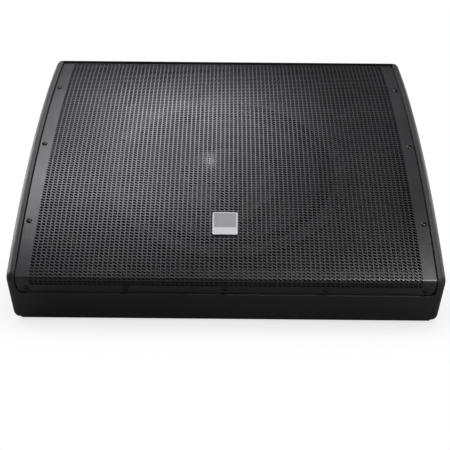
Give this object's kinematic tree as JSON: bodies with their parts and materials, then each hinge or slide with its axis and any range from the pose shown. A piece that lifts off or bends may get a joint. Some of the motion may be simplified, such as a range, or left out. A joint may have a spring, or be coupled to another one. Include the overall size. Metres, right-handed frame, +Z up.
{
  "type": "stage monitor wedge",
  "caption": "Low active floor wedge loudspeaker: coaxial driver and ports behind an arched perforated grille, side handles and a rear control panel.",
  "frame": {"origin": "centre of the footprint, on the surface the rubber feet rest on", "axes": "+X across the cabinet, -Y towards the performer (the low front edge), +Z up"},
  "size_m": [0.624, 0.4805, 0.3785],
  "materials": {
    "cabinet_paint": "plywood under a finely textured, satin black coating",
    "baffle_paint": "plywood painted matt black",
    "grille_steel": "perforated steel, satin black powder coat",
    "black_screw": "blackened steel",
    "zinc_screw": "zinc-plated steel",
    "badge_metal": "satin silver",
    "badge_dark": "dark grey, semi-gloss",
    "foot_rubber": "matt black",
    "handle_steel": "pressed steel, satin black",
    "grip_rubber": "matt black",
    "port_plastic": "matt black",
    "cast_frame": "cast, matt black paint",
    "surround_cloth": "doped cloth",
    "cone_paper": "treated paper pulp, black",
    "coil_wire": "enamelled copper",
    "spider_cloth": "resin-treated cotton",
    "magnet_steel": "black-coated steel",
    "magnet": "nickel-plated",
    "horn_plastic": "moulded, semi-gloss black",
    "diaphragm_metal": "thin formed metal",
    "driver_cover": "cast, satin black",
    "panel_aluminium": "black-anodised sheet",
    "heatsink_aluminium": "black-anodised extrusion",
    "socket_shell": "black-plated die casting",
    "latch_metal": "nickel-plated",
    "knob_plastic": "matt black",
    "part_plastic": "matt black",
    "rocker_plastic": "semi-gloss black",
    "lens": "clear green, diffused",
    "pot_metal": "zinc-plated",
    "circuit_board": "green solder mask",
    "capacitor_sleeve": "dark sleeve",
    "transformer_tape": "wound core with yellow tape"
  },
  "bodies": {
    "cabinet": {"amp_board": "circuit_board", "amp_plate": "panel_aluminium", "amp_screws": "black_screw", "back_panel": "cabinet_paint", "badge_inlay": "badge_dark", "badge_plate": "badge_metal", "baffle": "baffle_paint", "base_panel": "cabinet_paint", "batten_left": "baffle_paint", "batten_rear": "baffle_paint", "batten_right": "baffle_paint", "board_spacers": "zinc_screw", "button_switch": "part_plastic", "capacitors": "capacitor_sleeve", "foot_front_left": "foot_rubber", "foot_front_right": "foot_rubber", "foot_rear_left": "foot_rubber", "foot_rear_right": "foot_rubber", "foot_screws": "zinc_screw", "front_plate": "magnet_steel", "front_rail": "cabinet_paint", "grille": "grille_steel", "grille_screws": "black_screw", "handle_bar_left": "grip_rubber", "handle_bar_right": "grip_rubber", "handle_cup_left": "handle_steel", "handle_cup_right": "handle_steel", "handle_screws": "black_screw", "heatsink": "heatsink_aluminium", "hf_body": "magnet_steel", "hf_cover": "driver_cover", "horn": "horn_plastic", "input_socket": "socket_shell", "lamps": "lens", "link_socket": "socket_shell", "magnet_ring": "magnet", "mains_inlet": "part_plastic", "pole_piece": "magnet_steel", "port_tube_left": "port_plastic", "port_tube_right": "port_plastic", "potentiometers": "pot_metal", "side_panel_left": "cabinet_paint", "side_panel_right": "cabinet_paint", "spider": "spider_cloth", "supply_board": "circuit_board", "surround": "surround_cloth", "switch_frame": "part_plastic", "top_panel": "cabinet_paint", "transformer": "transformer_tape", "woofer_frame": "cast_frame", "woofer_screws": "black_screw"},
    "cone_assembly": {"cone": "cone_paper", "voice_coil": "coil_wire"},
    "hf_dome": {"hf_diaphragm": "diaphragm_metal"},
    "level_control": {"level_knob": "knob_plastic"},
    "low_control": {"low_knob": "knob_plastic"},
    "high_control": {"high_knob": "knob_plastic"},
    "mode_push": {"mode_button": "knob_plastic"},
    "power_toggle": {"power_rocker": "rocker_plastic"},
    "latch_tab": {"socket_latch": "latch_metal"}
  },
  "joints": [
    {"name": "cone_travel", "type": "slide", "parent": "cabinet", "child": "cone_assembly", "axis": [0, -0.5736, 0.8192], "range_m": [-0.006, 0.006], "stiffness_N_per_m": 2000, "deforming": ["surround", "spider"]},
    {"name": "hf_travel", "type": "slide", "parent": "cabinet", "child": "hf_dome", "axis": [0, -0.5736, 0.8192], "range_m": [-0.0003, 0.0003], "stiffness_N_per_m": 800},
    {"name": "level_turn", "type": "hinge", "parent": "cabinet", "child": "level_control", "pos_m": [0.022, 0.2312, 0.095], "axis": [0, 1, 0], "range_deg": [-150, 150]},
    {"name": "low_turn", "type": "hinge", "parent": "cabinet", "child": "low_control", "pos_m": [-0.008, 0.2312, 0.095], "axis": [0, 1, 0], "range_deg": [-150, 150]},
    {"name": "high_turn", "type": "hinge", "parent": "cabinet", "child": "high_control", "pos_m": [-0.038, 0.2312, 0.095], "axis": [0, 1, 0], "range_deg": [-150, 150]},
    {"name": "mode_press", "type": "slide", "parent": "cabinet", "child": "mode_push", "axis": [0, -1, 0], "range_m": [0, 0.0015], "stiffness_N_per_m": 600},
    {"name": "latch_press", "type": "slide", "parent": "cabinet", "child": "latch_tab", "axis": [0, -1, 0], "range_m": [0, 0.0015], "stiffness_N_per_m": 600},
    {"name": "power_rock", "type": "hinge", "parent": "cabinet", "child": "power_toggle", "pos_m": [-0.078, 0.2272, 0.095], "axis": [-1, 0, 0], "range_deg": [0, 16]}
  ]
}
